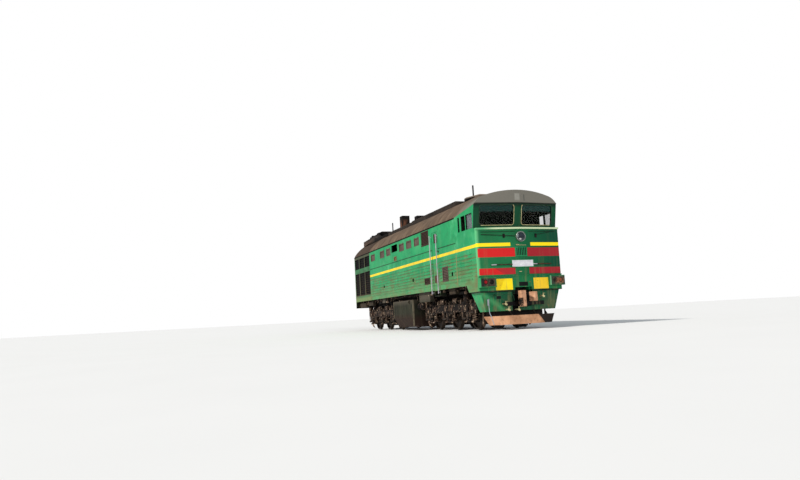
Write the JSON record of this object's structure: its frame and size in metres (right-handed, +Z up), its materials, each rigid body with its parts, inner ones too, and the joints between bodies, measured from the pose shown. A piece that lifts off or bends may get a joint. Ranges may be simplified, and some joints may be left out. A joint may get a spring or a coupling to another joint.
{
  "type": "diesel locomotive section with one cab",
  "caption": "Main-line diesel locomotive unit with one cab, a ribbed side, roof stacks and shuttered cooling section on two swivelling bogies with spinning wheelsets and hinged doors.",
  "frame": {"origin": "centre line, midway between the two couplers, at the level of the wheel flanges' lowest points", "axes": "+X to the cab end, +Y to the driver's left, +Z up"},
  "size_m": [17.2, 3.404, 5.78],
  "materials": {
    "green_paint": "weathered gloss",
    "roof_paint": "dusty matt",
    "vent_paint": "sooty matt",
    "brown_paint": "matt",
    "running_gear": "oily and dusty",
    "wheel_steel": "worn",
    "cast_steel": "dusty",
    "tank_paint": "dusty matt",
    "black_rubber": "matt",
    "pale_paint": "worn gloss",
    "lamp_metal": "bright",
    "glass": "clear",
    "radiator_metal": "dusty",
    "machine_grey": "satin",
    "cab_lining": "satin",
    "seat_cover": "satin",
    "desk_grey": "satin"
  },
  "bodies": {
    "body": {"air_ducts": "running_gear", "body_roof": "roof_paint", "cab_glass": "glass", "cab_lining": "cab_lining", "cab_nose": "green_paint", "cab_roof": "roof_paint", "cab_seats": "seat_cover", "cab_sides": "green_paint", "centre_pivots": "running_gear", "control_desk": "desk_grey", "couplers": "cast_steel", "cross_bearers": "running_gear", "deck": "running_gear", "engine_block": "machine_grey", "exhaust_stacks": "brown_paint", "fuel_tank": "tank_paint", "gangway": "black_rubber", "handrails": "pale_paint", "headlamp": "lamp_metal", "headstock": "green_paint", "long_beams": "running_gear", "marker_lamps": "green_paint", "radiator_cores": "radiator_metal", "rail_guard": "cast_steel", "rear_wall": "green_paint", "roof_casings": "roof_paint", "roof_masts": "pale_paint", "roof_vents": "vent_paint", "shutters": "vent_paint", "side_boxes": "tank_paint", "side_hatches": "brown_paint", "side_walls": "green_paint", "skirt": "green_paint", "windscreen_wall": "green_paint"},
    "bogie_front": {"bogie_frame_front": "running_gear", "axle_boxes_front": "running_gear", "springs_front": "running_gear", "motors_front": "running_gear", "receiver_coils": "black_rubber", "brake_gear_front": "running_gear"},
    "bogie_rear": {"bogie_frame_rear": "running_gear", "axle_boxes_rear": "running_gear", "springs_rear": "running_gear", "motors_rear": "running_gear", "brake_gear_rear": "running_gear"},
    "wheelset_1": {"wheels_1": "wheel_steel", "axle_1": "wheel_steel"},
    "wheelset_2": {"wheels_2": "wheel_steel", "axle_2": "wheel_steel"},
    "wheelset_3": {"wheels_3": "wheel_steel", "axle_3": "wheel_steel"},
    "wheelset_4": {"wheels_4": "wheel_steel", "axle_4": "wheel_steel"},
    "wheelset_5": {"wheels_5": "wheel_steel", "axle_5": "wheel_steel"},
    "wheelset_6": {"wheels_6": "wheel_steel", "axle_6": "wheel_steel"},
    "side_door_right": {"side_door_right": "green_paint"},
    "side_door_left": {"side_door_left": "green_paint"},
    "rear_door": {"rear_door": "green_paint"}
  },
  "joints": [
    {"name": "bogie_swivel_front", "type": "hinge", "parent": "body", "child": "bogie_front", "pos_m": [4.3, 0, 0.9], "axis": [0, 0, 1], "range_deg": [-3, 3]},
    {"name": "bogie_swivel_rear", "type": "hinge", "parent": "body", "child": "bogie_rear", "pos_m": [-4.3, 0, 0.9], "axis": [0, 0, 1], "range_deg": [-3, 3]},
    {"name": "wheelset_spin_1", "type": "hinge", "parent": "bogie_front", "child": "wheelset_1", "pos_m": [6.15, 0, 0.555], "axis": [0, 1, 0], "continuous": true},
    {"name": "wheelset_spin_2", "type": "hinge", "parent": "bogie_front", "child": "wheelset_2", "pos_m": [4.3, 0, 0.555], "axis": [0, 1, 0], "continuous": true},
    {"name": "wheelset_spin_3", "type": "hinge", "parent": "bogie_front", "child": "wheelset_3", "pos_m": [2.45, 0, 0.555], "axis": [0, 1, 0], "continuous": true},
    {"name": "wheelset_spin_4", "type": "hinge", "parent": "bogie_rear", "child": "wheelset_4", "pos_m": [-2.45, 0, 0.555], "axis": [0, 1, 0], "continuous": true},
    {"name": "wheelset_spin_5", "type": "hinge", "parent": "bogie_rear", "child": "wheelset_5", "pos_m": [-4.3, 0, 0.555], "axis": [0, 1, 0], "continuous": true},
    {"name": "wheelset_spin_6", "type": "hinge", "parent": "bogie_rear", "child": "wheelset_6", "pos_m": [-6.15, 0, 0.555], "axis": [0, 1, 0], "continuous": true},
    {"name": "side_door_right_hinge", "type": "hinge", "parent": "body", "child": "side_door_right", "pos_m": [4.02, -1.524, 2.8], "axis": [0, 0, 1], "range_deg": [0, 90]},
    {"name": "side_door_left_hinge", "type": "hinge", "parent": "body", "child": "side_door_left", "pos_m": [4.02, 1.524, 2.8], "axis": [0, 0, -1], "range_deg": [0, 90]},
    {"name": "rear_door_hinge", "type": "hinge", "parent": "body", "child": "rear_door", "pos_m": [-7.854, 0.38, 2.8], "axis": [0, 0, 1], "range_deg": [0, 90]}
  ]
}
